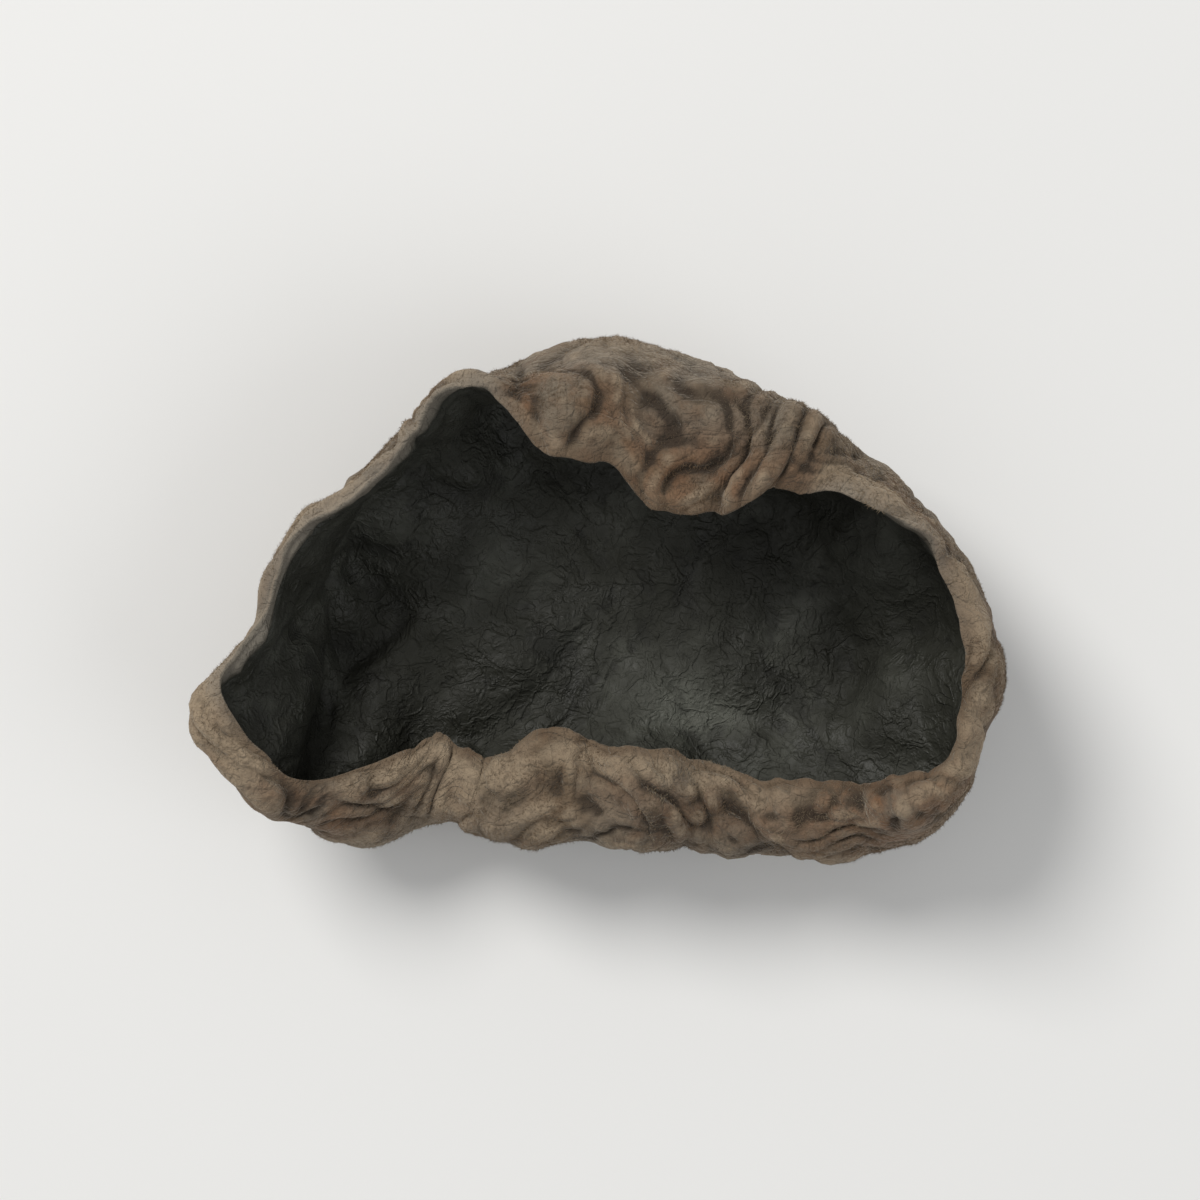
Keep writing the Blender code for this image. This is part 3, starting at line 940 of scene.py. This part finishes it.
def ear_colour(board, colours):
    """One colour for the whole ear, so that its two finishes meet without a seam.

    Outside: velvet brown, with painted shade in hollows and a painted highlight on what
    stands out, reddish where the down is rubbed off and where the sheet is thin.  Inside:
    near black, with a grey bloom, a painted highlight on one facet and painted shade in its
    wrinkles.  The very edge is brown, or pale grey where it is upright.
    """
    fields = {name: board.noise(*noise) for name, noise in COLOUR_NOISES.items()}
    # Painted shading from the relief, varied by the grain.
    fields["tone"] = board.attribute("tone") + (fields["grain"] - NOISE_MEAN) * GRAIN_TONE
    fields["bulge"] = board.attribute("bulge")
    to_margin, blush = board.attribute("to_margin"), board.attribute("blush")
    dust = to_margin.ramp(*DUST_RAMP) * fields["dustiness"].ramp(*DUSTINESS_RAMP)
    dust = dust - blush * BLUSH_LOSS
    fields["dusty"] = dust + board.attribute("dusting") * DUSTING_GAIN
    # Grey bloom from a noise, plus a painted highlight where a facet would catch the light.
    fields["bloom"] = fields["mould"] + board.attribute("bloom") * FACET_HIGHLIGHT_SHARE

    outer = board.layers(colours.outer, DOWN_LAYERS, fields, colours)
    flesh = to_margin.ramp(*FLESH_RAMP) + blush * BLUSH_FLESH
    flesh = flesh * fields["redness"].ramp(*REDNESS_RAMP)
    outer = board.mix(flesh, outer, colours.thin_flesh)
    outer = board.layers(outer, RELIEF_LAYERS, fields, colours)
    inner = board.layers(colours.inner, INNER_LAYERS, fields, colours)

    wobble = (fields["wobble"] - NOISE_MEAN) * INSIDE_WOBBLE
    inside = (board.attribute("inside") + wobble).ramp(*INSIDE_RAMP)
    edge = board.mix(board.attribute("upright"), colours.thin_margin, colours.upright_pale)
    return board.mix(to_margin.ramp(*EDGE_RAMP), board.mix(inside, outer, inner), edge)


def outer_finish(colours):
    """Velvety, matt, with the faint light of short down at glancing angles."""
    board = NodeBoard("velvety_outside")
    colour, normal = ear_colour(board, colours), board.bumps(*OUTER_BUMPS)
    return board.finish({"Base Color": colour, "Normal": normal, **OUTER_SOCKETS})


def inner_finish(colours):
    """Hard and faintly satin, finely wrinkled, with a dull powdery bloom in places and a painted
    highlight on one facet.
    """
    board = NodeBoard("dark_inside")
    colour, normal = ear_colour(board, colours), board.bumps(*INNER_BUMPS)
    noise, ramp = INNER_ROUGHNESS
    return board.finish({"Base Color": colour, "Normal": normal,
                         "Roughness": board.noise(*noise).ramp(*ramp), **INNER_SOCKETS})


def down_finish(colours):
    """The down: matt, pale where it is thick, and browner in patches."""
    board = NodeBoard("short_down")
    patch, hair = (board.noise(*noise).ramp(*ramp) for noise, ramp in (DOWN_PATCHES, DOWN_HAIRS))
    colour = board.mix(patch, colours.down_brown, colours.down)
    colour = board.mix(hair, colour, colours.outer)
    return board.finish({"Base Color": colour, **DOWN_SOCKETS})


# ---- Settings, operators and panel ----

def tint(name, description, default):
    return bpy.props.FloatVectorProperty(name=name, description=description, default=default,
                                         subtype="COLOR", size=3, min=0.0, max=1.0)


def number(name, description, default, **settings):
    return bpy.props.FloatProperty(name=name, description=description, default=default,
                                   **settings)


def count(name, description, default, least):
    return bpy.props.IntProperty(name=name, description=description, default=default, min=least)


def measure(name, description, default):
    return number(name, description, default, unit="LENGTH", precision=6, min=0.0)


class WoodEarShape(bpy.types.PropertyGroup):
    columns: count("Columns", "Points round the mouth", 500, 48)
    rows: count("Rows", "Points from the bottom to the margin on each face", 96, 24)
    wrinkle_depth: measure("Wrinkle depth", "Depth of the outer rays and net", 0.00009)
    pucker_depth: measure("Pucker depth", "Depth of the cushions on the rolled margin", 0.00014)
    line_depth: measure("Line depth", "Depth of the narrow grooves", 0.00008)
    grain_depth: measure("Grain depth", "Height of the grain on both faces", 0.000008)
    inner_wrinkle_depth: measure("Inner wrinkle depth", "Depth of inner wrinkles", 0.00007)
    crumple_depth: measure("Crumple depth", "Depth of the sheet's broad cushions", 0.00013)
    frill_depth: measure("Frill depth", "How far the free margin waves in and out", 0.00010)
    hairs: count("Hairs", "Hairs in each piece of the down", 49000, 1)
    hair_length: measure("Hair length", "Length of the longest hairs of the down", 0.00015)
    hair_width: measure("Hair width", "Width of a hair at its root", 0.000018)


class WoodEarColours(bpy.types.PropertyGroup):
    outer: tint("Outside", "Velvet brown of the outer face", (0.132, 0.094, 0.058))
    outer_grey: tint("Outside, grey", "Greyer down", (0.158, 0.130, 0.097))
    outer_rubbed: tint("Rubbed", "Where the down is gone", (0.098, 0.058, 0.034))
    thin_flesh: tint("Thin flesh", "Reddish brown near the margin", (0.172, 0.092, 0.048))
    # Painted highlight on crests and on what stands out, and also the colour of dust.
    highlight_and_dust: tint("Highlight and dust", "Pale tops of folds", (0.300, 0.232, 0.158))
    # Painted shade in valleys and hollows, and also the colour of dark specks.
    shade_and_specks: tint("Shade and specks", "Dark bottoms of wrinkles", (0.030, 0.021, 0.014))
    inner: tint("Inside", "Near-black inner face", (0.0225, 0.0228, 0.0165))
    # Grey bloom, and the painted highlight of one inner facet.
    inner_bloom_and_highlight: tint("Bloom and highlight", "Grey bloom on the inner face", (0.108, 0.111, 0.092))
    # Painted shade at the bottoms of the inner wrinkles.
    inner_wrinkle_shade: tint("Inside, shade", "Bottoms of inner wrinkles", (0.011, 0.011, 0.008))
    thin_margin: tint("Thin margin", "Brown of the thin free margin", (0.100, 0.064, 0.038))
    # Pale grey of the edge where the margin stands upright.
    upright_pale: tint("Pale upright margin", "Pale grey of the upright margin", (0.235, 0.205, 0.165))
    down: tint("Down", "Pale down", (0.262, 0.205, 0.138))
    down_brown: tint("Down, brown", "Browner down", (0.170, 0.112, 0.066))


class WoodEarStage(bpy.types.PropertyGroup):
    floor: tint("Floor", "Colour of the plain floor", (0.80, 0.80, 0.79))
    floor_width: measure("Floor width", "Side of the square floor", 1.2)
    frame_share: number("Frame share", "Share of the picture's width that the ear takes",
                        0.70, min=0.1, max=1.0, subtype="FACTOR")
    lens: number("Lens", "Focal length of the camera in millimetres", 120.0, unit="CAMERA")
    key_power: number("Key light", "Power of the large soft light", 0.85, unit="POWER")
    fill_power: number("Fill light", "Power of the light from the other side", 0.2,
                       unit="POWER")
    sky: number("Surround", "Strength of the even light all round", 0.42)


def show(name, data):
    """An object in the scene for a mesh, a light or a camera."""
    thing = bpy.data.objects.new(name, data)
    bpy.context.scene.collection.objects.link(thing)
    return thing


def dried_piece(name, mesh):
    """A finished piece of the ear, which rides on its one body."""
    piece = show(name, mesh)
    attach(piece, "root")
    return piece


class WOODEAR_OT_sheet(bpy.types.Operator):
    """Build the fine surface of the ear in place of its plain solid"""
    bl_idname = "woodear.sheet"
    bl_label = "Ear"

    def execute(self, context):
        shape, colours = context.scene.wood_ear_shape, context.scene.wood_ear_colours
        points, facts = ear_grid(shape)
        mesh = grid_mesh("ear_sheet", points, facts)
        mesh.materials.append(outer_finish(colours))
        mesh.materials.append(inner_finish(colours))
        # The faces of the inner rows come after the others, then those of the two poles.
        first_inner = (points.shape[0] - shape.rows) * shape.columns
        slots = np.zeros(len(mesh.polygons), dtype=np.int32)
        slots[first_inner:] = 1
        slots[-2 * shape.columns:-shape.columns] = 0
        mesh.polygons.foreach_set("material_index", slots)
        ear = dried_piece("ear_sheet", mesh)
        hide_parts("wood_ear")
        return {"FINISHED"}


class WOODEAR_OT_down(bpy.types.Operator):
    """Set short down on the outer face of the ear"""
    bl_idname = "woodear.down"
    bl_label = "Down"

    def execute(self, context):
        shape, colours = context.scene.wood_ear_shape, context.scene.wood_ear_colours
        ear = bpy.data.objects.get("ear_sheet")
        if ear is None:
            raise RuntimeError("the down grows on the ear, which isn't built yet")
        face, finish = outer_face(ear, shape), down_finish(colours)
        for number in range(DOWN_PIECES):
            name = f"ear_down_{number + 1}"
            mesh = down_mesh(name, face, shape, number)
            mesh.materials.append(finish)
            dried_piece(name, mesh)
        return {"FINISHED"}


# The soft lights: name, place, width and colour.  Their powers are settings.
LIGHTS = (
    ("key", (-0.16, 0.17, 0.26), 0.16, (1.0, 0.985, 0.96)),
    ("fill", (0.22, -0.10, 0.20), 0.24, (0.96, 0.98, 1.0)),
)
LIGHT_TARGET = Vector((0, 0, 0.004))


def soft_light(name, place, width, colour, power):
    """A round area light that shines on the ear."""
    light = bpy.data.lights.new(name, "AREA")
    light.shape = "DISK"
    light.size = width
    light.energy = power
    light.color = colour
    thing = show(name, light)
    thing.location = place
    thing.rotation_euler = (LIGHT_TARGET - Vector(place)).to_track_quat("-Z", "Y").to_euler()


def surround(strength):
    """Even white light from all round."""
    world = bpy.data.worlds.new("surround")
    world.use_nodes = True
    inputs = world.node_tree.nodes["Background"].inputs
    inputs["Color"].default_value = (1.0, 1.0, 1.0, 1.0)
    inputs["Strength"].default_value = strength
    bpy.context.scene.world = world


def plain_floor(width, colour):
    """A square floor that isn't part of the ear."""
    mesh = bpy.data.meshes.new("floor")
    corners = [(x * width / 2, y * width / 2, 0) for x, y in ((-1, -1), (1, -1), (1, 1), (-1, 1))]
    mesh.from_pydata(corners, [], [(0, 1, 2, 3)])
    board = NodeBoard("plain_floor")
    mesh.materials.append(board.finish({"Base Color": colour, **FLOOR_SOCKETS}))
    show("floor", mesh)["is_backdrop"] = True


def camera_above(lens, frame_share, nearest=0.001, farthest=10.0):
    """A camera that looks straight down on the ear, which takes a share of its width."""
    low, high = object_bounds()
    camera = bpy.data.cameras.new("camera")
    camera.lens = lens
    camera.clip_start, camera.clip_end = nearest, farthest
    distance = (high[0] - low[0]) / frame_share * camera.lens / camera.sensor_width
    thing = show("camera", camera)
    thing.location = ((low[0] + high[0]) / 2, (low[1] + high[1]) / 2, high[2] + distance)
    bpy.context.scene.camera = thing


class WOODEAR_OT_stage(bpy.types.Operator):
    """Add the plain floor, the soft lights and the camera that looks straight down"""
    bl_idname = "woodear.stage"
    bl_label = "Stage"

    def execute(self, context):
        stage = context.scene.wood_ear_stage
        plain_floor(stage.floor_width, stage.floor)
        for name, place, width, colour in LIGHTS:
            soft_light(name, place, width, colour, getattr(stage, f"{name}_power"))
        surround(stage.sky)
        camera_above(stage.lens, stage.frame_share)
        context.scene.view_settings.view_transform = "Standard"
        return {"FINISHED"}


class WOODEAR_PT_panel(bpy.types.Panel):
    """Settings and steps of the dried wood ear"""
    bl_idname = "WOODEAR_PT_panel"
    bl_label = "Dried wood ear"
    bl_space_type = "VIEW_3D"
    bl_region_type = "UI"
    bl_category = "Wood ear"

    def draw(self, context):
        for group in GROUPS:
            settings = getattr(context.scene, group)
            box = self.layout.box()
            for name in settings.__annotations__:
                box.prop(settings, name)
        for step in STEPS:
            self.layout.operator(step.bl_idname)


GROUPS = {"wood_ear_shape": WoodEarShape, "wood_ear_colours": WoodEarColours,
          "wood_ear_stage": WoodEarStage}
STEPS = (WOODEAR_OT_sheet, WOODEAR_OT_down, WOODEAR_OT_stage)
CLASSES = (*GROUPS.values(), *STEPS, WOODEAR_PT_panel)


def register():
    for each in CLASSES:
        bpy.utils.register_class(each)
    for name, group in GROUPS.items():
        setattr(bpy.types.Scene, name, bpy.props.PointerProperty(type=group))


def unregister():
    for name in GROUPS:
        delattr(bpy.types.Scene, name)
    for each in reversed(CLASSES):
        bpy.utils.unregister_class(each)


def main():
    register()
    bpy.ops.woodear.sheet()
    bpy.ops.woodear.down()
    bpy.ops.woodear.stage()


if __name__ == "__main__":
    main()
